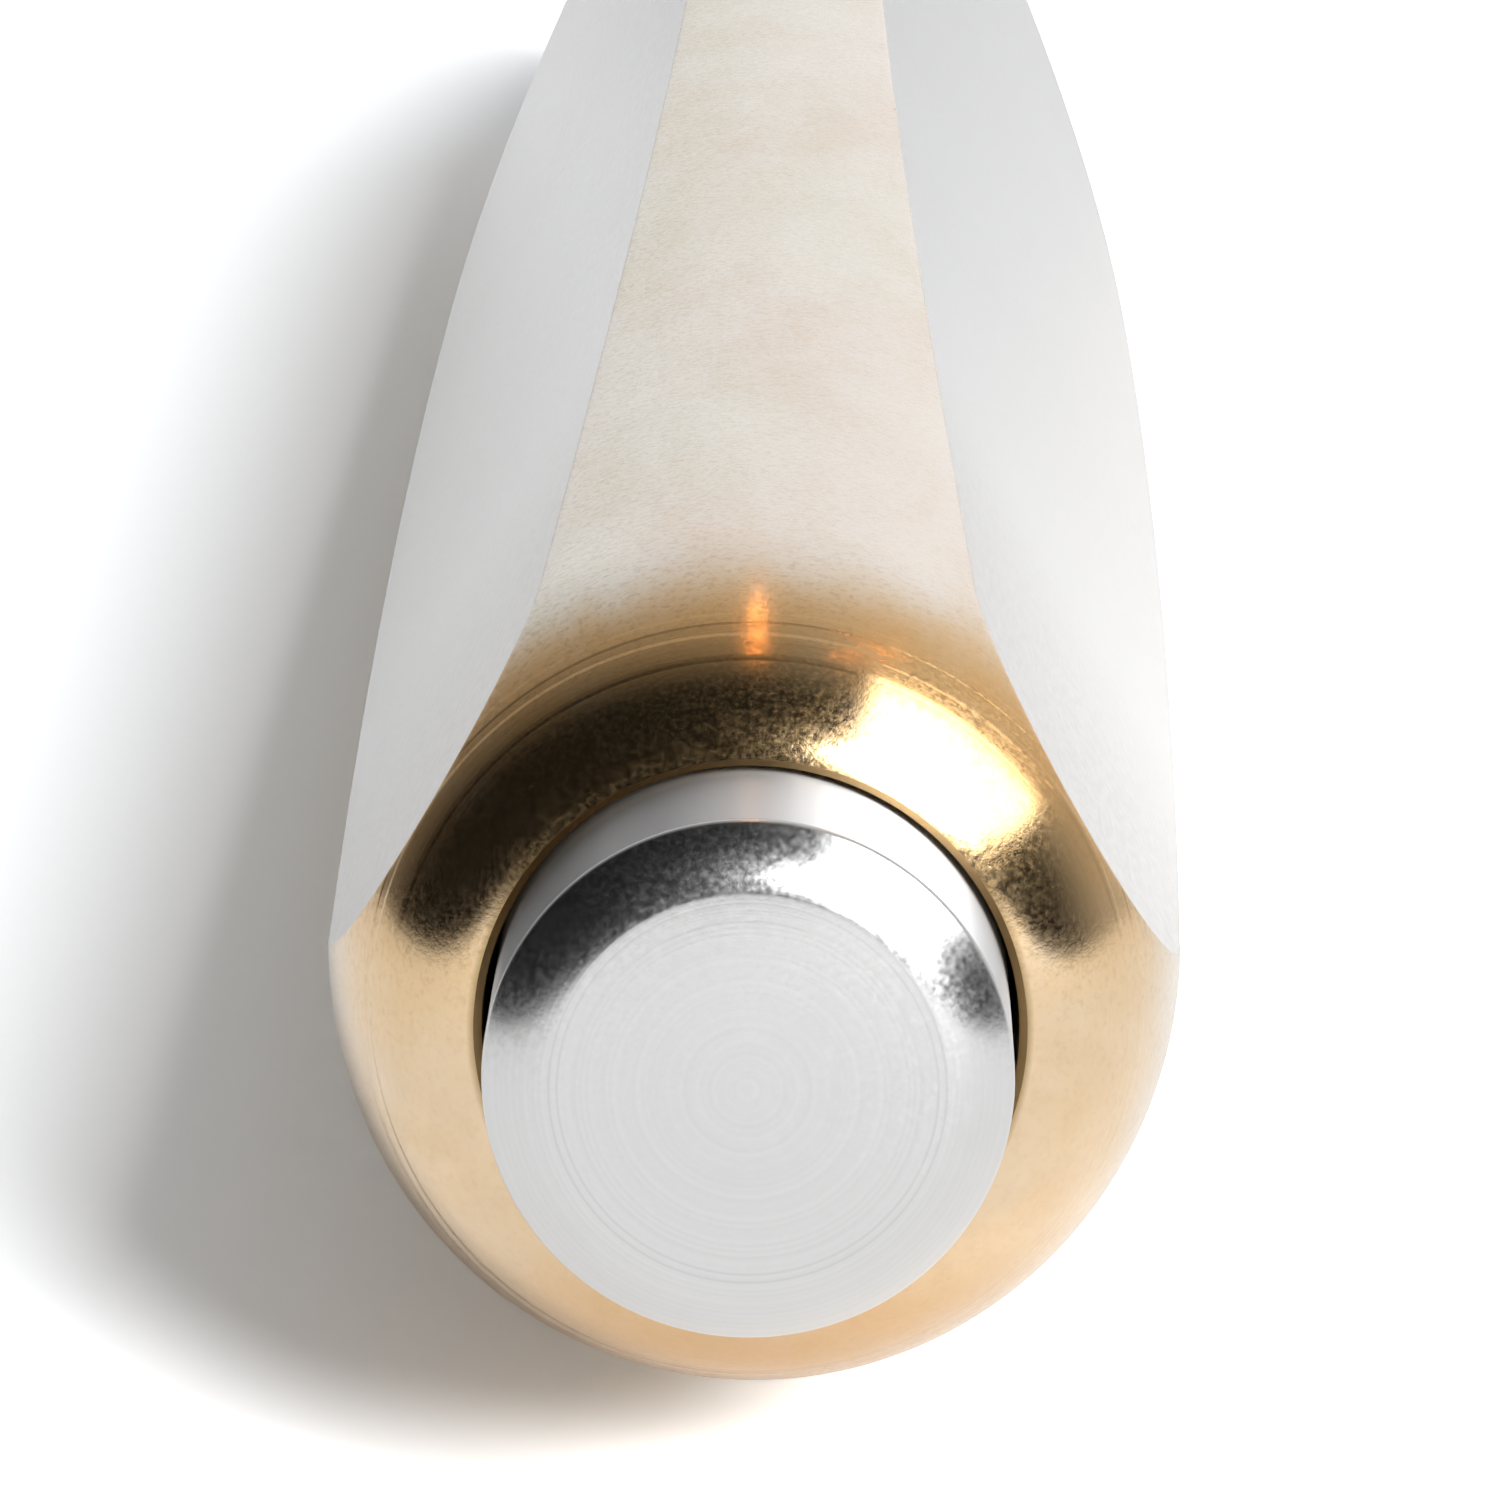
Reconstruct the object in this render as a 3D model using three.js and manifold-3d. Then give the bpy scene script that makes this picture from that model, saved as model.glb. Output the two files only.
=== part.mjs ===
// Click ballpoint pen: a turned brass body that swells like a cigar, with two flats beside its top ridge.
// Every place along the pen is measured from the push button's face, towards the writing tip, in millimetres.

import * as THREE from 'three';
import { mergeVertices } from 'three/addons/utils/BufferGeometryUtils.js';
import Module from 'manifold-3d';

const wasm = await Module();
wasm.setup();

// Push button
const buttonRadius = 3.23;
const buttonFaceRadius = 2.4;
const buttonEdgeDepth = 0.6;
const buttonLength = 13.5;
const buttonWall = 0.6;
const buttonSolidDepth = 6;
const stemRadius = 1.6;
const stemSocketDepth = 3.4;
const pressTravel = 1.2;
const releaseTravel = 4.8;

// Body of the pen
const buttonProud = 3.05;
const boreClearance = 0.1;
const lipChamfer = 0.1;
const domeLength = 5.05;
const domeRise = 2.06;
const swellLength = 63.9;
const bellyRadius = 6.95;
const flatDistance = 4.76;
const flatAngle = THREE.MathUtils.degToRad(60);
const flatRunout = 0.06;

// Pull points of the body's and the nose cone's curves, as parts of each curve's length and rise
const swellStart = { rise: 0.55, reach: 0.375 };
const swellEnd = { reach: 0.3125 };
const taperStart = { reach: 0.45 };
const taperEnd = { rise: 0.38, reach: 0.26 };
const noseStart = { rise: 0.24, reach: 0.4 };
const noseEnd = { rise: 0.42, reach: 0.2 };

// Click mechanism
const runningGap = 0.12;
const seatGap = 0.06;
const endClearance = 0.5;
const camCoreRadius = 2.1;
const guideRibHeight = 0.35;
const latchRibHeight = 0.25;
const trackWall = 0.25;
const mechanismWall = 0.35;
const mechanismFlange = 1;
const chamberClearance = 0.1;
const plungerRibLength = 6.5;
const plungerBoreRadius = 1.25;
const plungerBoreDepth = 7;
const toothHeight = 0.7;
const toothCount = 8;
const camGap = 0.15;
const rotorLength = 10.4;
const rotorRibSetback = 2.2;
const rotorRibLength = 3;
const rotorPilotLength = 4.5;
const rotorFlangeRadius = 2.8;
const rotorFlangeLength = 1.7;
const ribHalfAngle = THREE.MathUtils.degToRad(9);
const ribSideClearance = THREE.MathUtils.degToRad(6.5);
const bushLength = 4;
const spannerSlotWidth = 1.2;
const spannerSlotDepth = 1;

// Refill, a standard size
const refillRadius = 2.95;
const refillLength = 98.1;
const refillNeckLength = 23.8;
const refillWall = 0.3;
const refillPlugFlange = 1.3;
const refillPlugSpigot = 4.4;
const refillVentRadius = 0.5;
const refillNotchDepth = 0.7;
const refillLipWall = 0.7;
const refillNeckRadius = 1.9;
const refillChamfer = 0.5;
const couplingLength = 4.6;
const shankRadius = 1.5;
const pointLength = 9.35;
const pointRadius = 1.17;
const pointSpigotRadius = 0.8;
const pointSpigotLength = 3.5;
const pointConeLength = 2.5;
const inkChannelRadius = 0.3;
const ballRadius = 0.5;
const ballClearance = 0.03;
const ballOverhang = 0.2;
const ballWall = 0.07;
const inkLength = 45;
const greaseLength = 2;

// Nose cone
const noseLength = 23.19;
const nozzleProjection = 3.15;
const nozzleRadius = 1.75;
const nozzleWall = 0.4;
const nozzleRound = 0.35;
const tenonLength = 8.5;
const jointGap = 0.05;
const refillClearance = 0.15;
const springChamberRadius = 2.7;
const sealRadius = 0.22;
const sealClearance = 0.03;

// Refill spring, as long as it is with the tip out
const springLength = 11.4;
const springCurls = 8;
const springWireRadius = 0.2;
const springGap = 0.2;

// Facets
const bodySegments = 64;
const boreSegments = 32;
const smallSegments = 24;
const springSteps = 8;
const springSides = 5;
const domeSteps = 10;
const swellSteps = 14;
const taperSteps = 10;
const noseSteps = 12;
const buttonEdgeSteps = 8;
const sealSteps = 8;
const ballSegments = 16;
const ballRows = 10;

// How far a piece of a solid runs into the next before they are joined, in millimetres and as an angle
const joinDepth = 0.3;
const thinJoinDepth = 0.1;
const joinAngle = THREE.MathUtils.degToRad(6);
const weldDistance = 1e-4;

// Radii that follow from what fits inside what
const boreRadius = buttonRadius + boreClearance;
const domeRadius = boreRadius + lipChamfer + domeRise;
const jointRadius = flatDistance - flatRunout;
const trackRibRadius = camCoreRadius + runningGap;
const plungerRibRadius = camCoreRadius + guideRibHeight;
const shallowFloor = plungerRibRadius + runningGap;
const rotorRibRadius = shallowFloor + latchRibHeight;
const deepFloor = rotorRibRadius + runningGap;
const trackOuterRadius = deepFloor + trackWall;
const tubeInnerRadius = trackOuterRadius + seatGap;
const tubeOuterRadius = tubeInnerRadius + mechanismWall;
const chamberRadius = tubeOuterRadius + chamberClearance;
const refillBoreRadius = refillRadius + refillClearance;
const refillInnerRadius = refillRadius - refillWall;
const plugRadius = refillInnerRadius - seatGap;
const pilotRadius = plungerBoreRadius - runningGap;
const toothAngle = 2 * Math.PI / toothCount;

// Places along the pen, each from the piece behind it
const lipAt = buttonProud;
const domeEnd = lipAt + domeLength;
const bellyAt = domeEnd + swellLength;
const chamberAt = buttonLength + pressTravel + endClearance;
const trackAt = chamberAt + mechanismFlange;
const plungerRibAt = trackAt + releaseTravel + runningGap;
const plungerRibEnd = plungerRibAt + plungerRibLength;
const rotorAt = plungerRibEnd + camGap;
const rotorRibAt = rotorAt + toothHeight + rotorRibSetback;
const trackEnd = rotorRibAt - runningGap;
const rotorEnd = rotorAt + rotorLength;
const refillAt = rotorEnd + runningGap;
const tipAt = refillAt + refillLength;
const refillShoulder = tipAt - refillNeckLength;
const shankEnd = tipAt - pointLength;
const nozzleAt = tipAt - nozzleProjection;
const noseAt = nozzleAt - noseLength;
const jointAt = noseAt - jointGap;
const taperLength = jointAt - bellyAt;
const tubeEnd = refillAt + pressTravel + endClearance;
const bushEnd = tubeEnd + bushLength;
const springSeatAt = refillShoulder + springLength;
const axisHeight = bellyRadius;

// Solids and meshes

function signedVolume(geometry) {
  const corner = [new THREE.Vector3(), new THREE.Vector3(), new THREE.Vector3()];
  const index = geometry.index.array;
  let volume = 0;
  for (let i = 0; i < index.length; i += 3) {
    corner.forEach((point, k) => point.fromBufferAttribute(geometry.attributes.position, index[i + k]));
    volume += corner[0].dot(corner[1].clone().cross(corner[2])) / 6;
  }
  return volume;
}

// Keeps only positions, merges shared corners, drops triangles that closed up on the axis, and faces out
function closed(geometry) {
  const plain = geometry.clone();
  for (const name of Object.keys(plain.attributes)) {
    if (name !== 'position') plain.deleteAttribute(name);
  }
  const merged = mergeVertices(plain, weldDistance);
  const index = merged.index.array;
  const kept = [];
  for (let i = 0; i < index.length; i += 3) {
    const [a, b, c] = [index[i], index[i + 1], index[i + 2]];
    if (a !== b && b !== c && c !== a) kept.push(a, b, c);
  }
  merged.setIndex(kept);
  if (signedVolume(merged) > 0) return merged;
  for (let i = 0; i < kept.length; i += 3) [kept[i + 1], kept[i + 2]] = [kept[i + 2], kept[i + 1]];
  merged.setIndex(kept);
  return merged;
}

function solid(geometry) {
  const body = closed(geometry);
  const vertProperties = new Float32Array(body.attributes.position.array);
  const triVerts = new Uint32Array(body.index.array);
  return new wasm.Manifold(new wasm.Mesh({ numProp: 3, vertProperties, triVerts }));
}

function toGeometry(body) {
  const result = body.getMesh();
  const geometry = new THREE.BufferGeometry();
  geometry.setAttribute('position', new THREE.BufferAttribute(new Float32Array(result.vertProperties), 3));
  geometry.setIndex(Array.from(result.triVerts));
  return geometry;
}

// A piece turned on the pen's axis from [radius, place] corners, closed on itself or on the axis
function turned(profile, segments = boreSegments) {
  const points = profile.map(([radius, place]) => new THREE.Vector2(radius, place));
  return closed(new THREE.LatheGeometry(points, segments));
}

function ring(innerRadius, outerRadius, from, to, segments = boreSegments) {
  const corners = [[innerRadius, from], [outerRadius, from], [outerRadius, to], [innerRadius, to]];
  return turned([...corners, corners[0]], segments);
}

function rod(radius, from, to, segments = smallSegments) {
  return turned([[0, from], [radius, from], [radius, to], [0, to]], segments);
}

// A quarter ellipse from one corner to the next, without its first point
function quarterEllipse(centre, radiusAxis, placeAxis, fromAngle, toAngle, steps) {
  const points = [];
  for (let i = 1; i <= steps; i++) {
    const angle = fromAngle + (toAngle - fromAngle) * i / steps;
    points.push([centre[0] + radiusAxis * Math.sin(angle), centre[1] + placeAxis * Math.cos(angle)]);
  }
  return points;
}

// A smooth curve between two [radius, place] corners, without its first point
function sweep(start, startPull, endPull, end, steps) {
  const [a, b, c, d] = [start, startPull, endPull, end].map(([r, y]) => new THREE.Vector2(r, y));
  return new THREE.CubicBezierCurve(a, b, c, d).getPoints(steps).slice(1).map(p => [p.x, p.y]);
}

// A block bent round the axis: its back is square and its front may slope from one side to the other
function sectorBlock({ inner, outer, fromAngle, toAngle, back, front, frontEnd = front, backEnd = back }) {
  const steps = Math.max(1, Math.ceil((toAngle - fromAngle) / (2 * Math.PI / boreSegments)));
  const positions = [];
  const index = [];
  for (let i = 0; i <= steps; i++) {
    const part = i / steps;
    const angle = fromAngle + (toAngle - fromAngle) * part;
    const nearBack = back + (backEnd - back) * part;
    const nearFront = front + (frontEnd - front) * part;
    for (const [radius, place] of [[inner, nearBack], [outer, nearBack], [outer, nearFront], [inner, nearFront]]) {
      positions.push(radius * Math.sin(angle), place, radius * Math.cos(angle));
    }
  }
  for (let i = 0; i < steps; i++) {
    for (let k = 0; k < 4; k++) {
      const [a, b] = [4 * i + k, 4 * i + (k + 1) % 4];
      index.push(a, b, b + 4, a, b + 4, a + 4);
    }
  }
  const last = 4 * steps;
  index.push(0, 2, 1, 0, 3, 2, last, last + 1, last + 2, last, last + 2, last + 3);
  const geometry = new THREE.BufferGeometry();
  geometry.setAttribute('position', new THREE.Float32BufferAttribute(positions, 3));
  geometry.setIndex(index);
  return closed(geometry);
}

function finish(name, geometry, { color, roughness, metalness }) {
  const material = new THREE.MeshStandardMaterial({ color, roughness, metalness });
  const mesh = new THREE.Mesh(geometry, material);
  mesh.name = name;
  return mesh;
}

const brass = { color: 0xc8a468, roughness: 0.28, metalness: 1 };
const chrome = { color: 0xdcdcde, roughness: 0.18, metalness: 1 };
const steel = { color: 0xb9bbbd, roughness: 0.3, metalness: 1 };
const whitePlastic = { color: 0xe6e4de, roughness: 0.5, metalness: 0 };
const blackPlastic = { color: 0x26262a, roughness: 0.5, metalness: 0 };
const blackRubber = { color: 0x1b1b1d, roughness: 0.8, metalness: 0 };
const ink = { color: 0x10143a, roughness: 0.3, metalness: 0 };
const grease = { color: 0xd8cf9a, roughness: 0.4, metalness: 0 };
const carbide = { color: 0x8b8d90, roughness: 0.15, metalness: 1 };

// Body: bore lip, domed end, long swell to the belly, taper to the joint, and the bores inside
function barrelProfile() {
  const lip = [boreRadius + lipChamfer, lipAt];
  const dome = quarterEllipse([lip[0], domeEnd], domeRise, -domeLength, 0, Math.PI / 2, domeSteps);
  const domeCorner = [domeRadius, domeEnd];
  const belly = [bellyRadius, bellyAt];
  const joint = [jointRadius, jointAt];
  const swellRise = bellyRadius - domeRadius;
  const taperDrop = bellyRadius - jointRadius;
  const swellPull = [domeRadius + swellStart.rise * swellRise, domeEnd + swellStart.reach * swellLength];
  const bellyPull = [bellyRadius, bellyAt - swellEnd.reach * swellLength];
  const taperPull = [bellyRadius, bellyAt + taperStart.reach * taperLength];
  const jointPull = [jointRadius + taperEnd.rise * taperDrop, jointAt - taperEnd.reach * taperLength];
  const sealRebate = chamberRadius + 2 * sealRadius - sealClearance;
  return [
    lip, ...dome,
    ...sweep(domeCorner, swellPull, bellyPull, belly, swellSteps),
    ...sweep(belly, taperPull, jointPull, joint, taperSteps),
    [sealRebate, jointAt], [sealRebate, jointAt - 2 * sealRadius], [chamberRadius, jointAt - 2 * sealRadius],
    [chamberRadius, chamberAt], [boreRadius, chamberAt], [boreRadius, lipAt + lipChamfer], lip,
  ];
}

function flatCutter(side) {
  const reach = 2 * bellyRadius;
  const box = new THREE.BoxGeometry(2 * reach, 2 * jointAt, reach);
  box.translate(0, jointAt / 2, flatDistance + reach / 2);
  box.rotateY(side * flatAngle);
  return solid(box);
}

function barrel() {
  const body = solid(turned(barrelProfile(), bodySegments));
  return toGeometry(body.subtract(flatCutter(1)).subtract(flatCutter(-1)));
}

// Push button: a chrome cup with a flat face, a rounded edge and a socket for the plunger's stem
function pushButton() {
  const edgeCentre = [buttonFaceRadius, buttonEdgeDepth];
  const edgeWidth = buttonRadius - buttonFaceRadius;
  const edge = quarterEllipse(edgeCentre, edgeWidth, -buttonEdgeDepth, 0, Math.PI / 2, buttonEdgeSteps);
  const innerRadius = buttonRadius - buttonWall;
  const socketRadius = stemRadius + seatGap;
  return turned([
    [0, 0], [buttonFaceRadius, 0], ...edge,
    [buttonRadius, buttonLength], [innerRadius, buttonLength], [innerRadius, buttonSolidDepth],
    [socketRadius, buttonSolidDepth], [socketRadius, stemSocketDepth], [0, stemSocketDepth],
  ], bodySegments);
}

// One ring of saw teeth round the axis, rising to toothHeight, as blocks that share their sides
function sawTeeth({ inner, outer, back, front, rear = false }) {
  let teeth = null;
  for (let i = 0; i < toothCount; i++) {
    const fromAngle = i * toothAngle;
    const toAngle = fromAngle + toothAngle;
    const slope = rear
      ? { back, backEnd: back + toothHeight, front }
      : { back, front, frontEnd: front + toothHeight };
    const tooth = solid(sectorBlock({ inner, outer, fromAngle, toAngle, ...slope }));
    teeth = teeth ? teeth.add(tooth) : tooth;
  }
  return teeth;
}

function ribs({ count, inner, outer, back, front, backRise = 0 }) {
  const all = [];
  for (let i = 0; i < count; i++) {
    const middle = i * 2 * Math.PI / count;
    all.push(solid(sectorBlock({
      inner, outer, back, front, backEnd: back + backRise,
      fromAngle: middle - ribHalfAngle, toAngle: middle + ribHalfAngle,
    })));
  }
  return all;
}

// Plunger: the stem in the button, a core with eight guide ribs, and saw teeth that turn the rotor
function plunger() {
  const bore = [plungerBoreRadius, plungerRibEnd - plungerBoreDepth];
  const core = turned([
    [0, stemSocketDepth], [stemRadius, stemSocketDepth], [stemRadius, plungerRibAt],
    [camCoreRadius, plungerRibAt], [camCoreRadius, plungerRibEnd], [plungerBoreRadius, plungerRibEnd],
    bore, [0, bore[1]],
  ]);
  const rootRadius = (camCoreRadius + plungerBoreRadius) / 2;
  let body = solid(core);
  body = body.add(sawTeeth({
    inner: plungerBoreRadius, outer: camCoreRadius, back: plungerRibEnd - joinDepth, front: plungerRibEnd,
  }));
  const guides = ribs({
    count: toothCount, inner: rootRadius, outer: plungerRibRadius, back: plungerRibAt, front: plungerRibEnd,
  });
  for (const guide of guides) body = body.add(guide);
  return toGeometry(body);
}

// Rotor: teeth that match the plunger's, four latch ribs with sloped backs, and a flange on the refill
function rotor() {
  const teethEnd = rotorAt + toothHeight;
  const flangeAt = rotorEnd - rotorFlangeLength;
  const core = turned([
    [0, rotorAt - rotorPilotLength], [pilotRadius, rotorAt - rotorPilotLength], [pilotRadius, teethEnd],
    [camCoreRadius, teethEnd], [camCoreRadius, flangeAt], [rotorFlangeRadius, flangeAt],
    [rotorFlangeRadius, rotorEnd], [0, rotorEnd],
  ]);
  let body = solid(core);
  body = body.add(sawTeeth({
    inner: pilotRadius - joinDepth, outer: camCoreRadius, back: rotorAt, front: teethEnd + joinDepth, rear: true,
  }));
  const latches = ribs({
    count: toothCount / 2, inner: camCoreRadius - joinDepth, outer: rotorRibRadius,
    back: rotorRibAt, front: rotorRibAt + rotorRibLength, backRise: toothHeight / 2,
  });
  for (const latch of latches) body = body.add(latch);
  return toGeometry(body);
}

// Cam track: a thin sleeve whose eight ribs leave four deep grooves and, between them, four shallow ones
function camTrack() {
  const grooveHalf = ribHalfAngle + ribSideClearance;
  const outer = deepFloor + thinJoinDepth;
  const front = trackEnd - toothHeight;
  let body = solid(ring(deepFloor, trackOuterRadius, trackAt, trackEnd));
  for (let i = 0; i < toothCount; i++) {
    const middle = i * toothAngle;
    const sides = { fromAngle: middle + grooveHalf, toAngle: middle + toothAngle - grooveHalf };
    body = body.add(solid(sectorBlock({
      inner: trackRibRadius, outer, ...sides, back: trackAt, front, frontEnd: trackEnd,
    })));
    if (i % 2 === 0) continue;
    const shallow = { fromAngle: middle - grooveHalf - joinAngle, toAngle: middle + grooveHalf + joinAngle };
    body = body.add(solid(sectorBlock({
      inner: shallowFloor, outer, ...shallow, back: trackAt, front, frontEnd: trackEnd,
    })));
  }
  return toGeometry(body);
}

// Mechanism tube: holds the track, with a flange behind it that the plunger's stem passes through
function mechanismTube() {
  const stemHole = stemRadius + runningGap;
  return turned([
    [stemHole, chamberAt], [tubeOuterRadius, chamberAt], [tubeOuterRadius, tubeEnd], [tubeInnerRadius, tubeEnd],
    [tubeInnerRadius, trackAt], [stemHole, trackAt], [stemHole, chamberAt],
  ]);
}

// Threaded bush that keeps the mechanism in the body, with two slots for a pin spanner
function retainingBush() {
  const body = solid(ring(refillBoreRadius, tubeOuterRadius, tubeEnd, bushEnd));
  const slot = new THREE.BoxGeometry(2 * chamberRadius + 1, spannerSlotDepth * 2, spannerSlotWidth);
  slot.translate(0, bushEnd, 0);
  return toGeometry(body.subtract(solid(slot)));
}

// Refill: rear plug, tube, grease and ink, coupling with its thin shank, writing point and ball
function refillPlug() {
  const flangeEnd = refillAt + refillPlugFlange;
  const spigotEnd = flangeEnd + refillPlugSpigot;
  const body = solid(turned([
    [refillVentRadius, refillAt], [refillRadius, refillAt], [refillRadius, flangeEnd],
    [plugRadius, flangeEnd], [plugRadius, spigotEnd], [refillVentRadius, spigotEnd], [refillVentRadius, refillAt],
  ]));
  const notch = new THREE.BoxGeometry(2 * refillRadius + 1, refillNotchDepth * 2, refillVentRadius * 2);
  notch.translate(0, refillAt, 0);
  const across = notch.clone().rotateY(Math.PI / 2);
  return toGeometry(body.subtract(solid(notch)).subtract(solid(across)));
}

function refillTube() {
  const from = refillAt + refillPlugFlange;
  const lipAtFront = refillShoulder - refillLipWall;
  const lipHole = refillNeckRadius + seatGap;
  return turned([
    [refillInnerRadius, from], [refillRadius, from], [refillRadius, refillShoulder - refillChamfer],
    [refillRadius - refillChamfer, refillShoulder], [lipHole, refillShoulder], [lipHole, lipAtFront],
    [refillInnerRadius, lipAtFront], [refillInnerRadius, from],
  ]);
}

const couplingEnd = refillShoulder - refillLipWall - seatGap;
const couplingAt = couplingEnd - couplingLength;
const inkEnd = couplingAt - seatGap;
const inkAt = inkEnd - inkLength;

function inkColumn() {
  return rod(plugRadius, inkAt, inkEnd, boreSegments);
}

function greaseFollower() {
  return rod(plugRadius, inkAt - seatGap - greaseLength, inkAt - seatGap, boreSegments);
}

function refillCoupling() {
  const neckEnd = refillShoulder + seatGap;
  const socketRadius = pointSpigotRadius + seatGap;
  const socketAt = shankEnd - pointSpigotLength - seatGap;
  return turned([
    [inkChannelRadius, couplingAt], [plugRadius, couplingAt], [plugRadius, couplingEnd],
    [refillNeckRadius, couplingEnd], [refillNeckRadius, neckEnd], [shankRadius, neckEnd], [shankRadius, shankEnd],
    [socketRadius, shankEnd], [socketRadius, socketAt], [inkChannelRadius, socketAt], [inkChannelRadius, couplingAt],
  ], smallSegments);
}

function writingPoint() {
  const ballAt = tipAt - ballRadius;
  const rimAt = ballAt + ballOverhang;
  const rimRadius = Math.sqrt(ballRadius ** 2 - ballOverhang ** 2) + ballClearance;
  const socketRadius = ballRadius + ballClearance;
  const floorAt = ballAt - ballRadius - ballClearance;
  return turned([
    [inkChannelRadius, shankEnd - pointSpigotLength], [pointSpigotRadius, shankEnd - pointSpigotLength],
    [pointSpigotRadius, shankEnd], [pointRadius, shankEnd], [pointRadius, rimAt - pointConeLength],
    [rimRadius + ballWall, rimAt], [rimRadius, rimAt], [socketRadius, ballAt], [socketRadius, floorAt],
    [inkChannelRadius, floorAt], [inkChannelRadius, shankEnd - pointSpigotLength],
  ], smallSegments);
}

function writingBall() {
  const ball = new THREE.SphereGeometry(ballRadius, ballSegments, ballRows);
  return closed(ball.translate(0, tipAt - ballRadius, 0));
}

// Nose cone: a tenon that screws into the body, an even taper, and the stepped bore for spring and point
function noseCone() {
  const tenonAt = jointAt - tenonLength;
  const bodyBoreEnd = refillShoulder + pressTravel + runningGap;
  const shankBoreEnd = shankEnd + pressTravel + runningGap;
  const shoulder = [jointRadius, noseAt];
  const rim = [nozzleRadius, nozzleAt - nozzleRound];
  const drop = jointRadius - nozzleRadius;
  const shoulderPull = [jointRadius - noseStart.rise * drop, noseAt + noseStart.reach * noseLength];
  const rimPull = [nozzleRadius + noseEnd.rise * drop, nozzleAt - noseEnd.reach * noseLength];
  const holeRadius = nozzleRadius - nozzleWall;
  const tenonRadius = chamberRadius - chamberClearance;
  const shankBore = shankRadius + refillClearance;
  return turned([
    [tenonRadius, tenonAt], [tenonRadius, noseAt], shoulder,
    ...sweep(shoulder, shoulderPull, rimPull, rim, noseSteps),
    [nozzleRadius - nozzleRound, nozzleAt], [holeRadius, nozzleAt],
    [holeRadius, shankBoreEnd], [shankBore, shankBoreEnd], [shankBore, springSeatAt],
    [springChamberRadius, springSeatAt], [springChamberRadius, bodyBoreEnd],
    [refillBoreRadius, bodyBoreEnd], [refillBoreRadius, tenonAt], [tenonRadius, tenonAt],
  ], bodySegments);
}

// O-ring in the rebate at the mouth of the body, round the root of the tenon
function noseSeal() {
  const centreRadius = chamberRadius + sealRadius - sealClearance;
  const centreAt = jointAt - sealRadius;
  const bead = sealRadius - sealClearance;
  const circle = [];
  for (let i = 0; i <= sealSteps; i++) {
    const angle = i / sealSteps * 2 * Math.PI;
    circle.push([centreRadius + bead * Math.cos(angle), centreAt + bead * Math.sin(angle)]);
  }
  return turned(circle);
}

// Spring: one wire that runs straight for one thickness at each end, square to its seats, and curls between
class SpringLine extends THREE.Curve {
  getPoint(part, target = new THREE.Vector3()) {
    const wire = 2 * springWireRadius;
    const from = refillShoulder + seatGap;
    const length = springLength - 2 * seatGap;
    const radius = shankRadius + springGap + springWireRadius;
    const place = part * length;
    const coiled = THREE.MathUtils.clamp((place - wire) / (length - 2 * wire), 0, 1);
    const angle = coiled * springCurls * 2 * Math.PI;
    return target.set(radius * Math.sin(angle), from + place, radius * Math.cos(angle));
  }
}

function springStations() {
  const steps = springCurls * springSteps;
  const wire = 2 * springWireRadius;
  const length = springLength - 2 * seatGap;
  const curled = [...Array(steps + 1).keys()].map(i => (wire + (length - 2 * wire) * i / steps) / length);
  return [0, ...curled, 1];
}

function sectionAt(line, part, step) {
  const centre = line.getPoint(part);
  const before = line.getPoint(Math.max(0, part - step));
  const after = line.getPoint(Math.min(1, part + step));
  const along = after.sub(before).normalize();
  const outward = new THREE.Vector3(centre.x, 0, centre.z).normalize();
  const across = new THREE.Vector3().crossVectors(along, outward).normalize();
  const out = new THREE.Vector3().crossVectors(across, along);
  const corners = [];
  for (let k = 0; k < springSides; k++) {
    const angle = k / springSides * 2 * Math.PI;
    const offset = out.clone().multiplyScalar(Math.cos(angle)).addScaledVector(across, Math.sin(angle));
    corners.push(centre.clone().addScaledVector(offset, springWireRadius));
  }
  return { centre, corners };
}

function refillSpring() {
  const line = new SpringLine();
  const parts = springStations();
  const positions = [];
  const index = [];
  parts.forEach((part, i) => {
    const atEnd = i === 0 || i === parts.length - 1;
    const section = sectionAt(line, part, atEnd ? weldDistance : 0.25 / parts.length);
    for (const corner of section.corners) positions.push(corner.x, corner.y, corner.z);
  });
  for (let i = 0; i < parts.length - 1; i++) {
    for (let k = 0; k < springSides; k++) {
      const next = (k + 1) % springSides;
      const [a, b] = [i * springSides + k, i * springSides + next];
      index.push(a, b, b + springSides, a, b + springSides, a + springSides);
    }
  }
  for (const [ringAt, centrePart] of [[0, 0], [parts.length - 1, 1]]) {
    const centre = line.getPoint(centrePart);
    const middle = positions.length / 3;
    positions.push(centre.x, centre.y, centre.z);
    for (let k = 0; k < springSides; k++) {
      const [a, b] = [ringAt * springSides + k, ringAt * springSides + (k + 1) % springSides];
      index.push(...(ringAt === 0 ? [middle, b, a] : [middle, a, b]));
    }
  }
  const geometry = new THREE.BufferGeometry();
  geometry.setAttribute('position', new THREE.Float32BufferAttribute(positions, 3));
  geometry.setIndex(index);
  return closed(geometry);
}

// Least distance between points of the wire that are at least half a curl apart, less one wire thickness
function springLeastGap() {
  const line = new SpringLine();
  const count = springCurls * 60;
  const points = [...Array(count + 1).keys()].map(i => line.getPoint(i / count));
  let least = Infinity;
  for (let i = 0; i < points.length; i++) {
    for (let j = i + 30; j < points.length; j++) least = Math.min(least, points[i].distanceTo(points[j]));
  }
  return least - 2 * springWireRadius;
}

console.log(`refill spring: least gap to itself ${springLeastGap().toFixed(2)} mm`);

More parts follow.
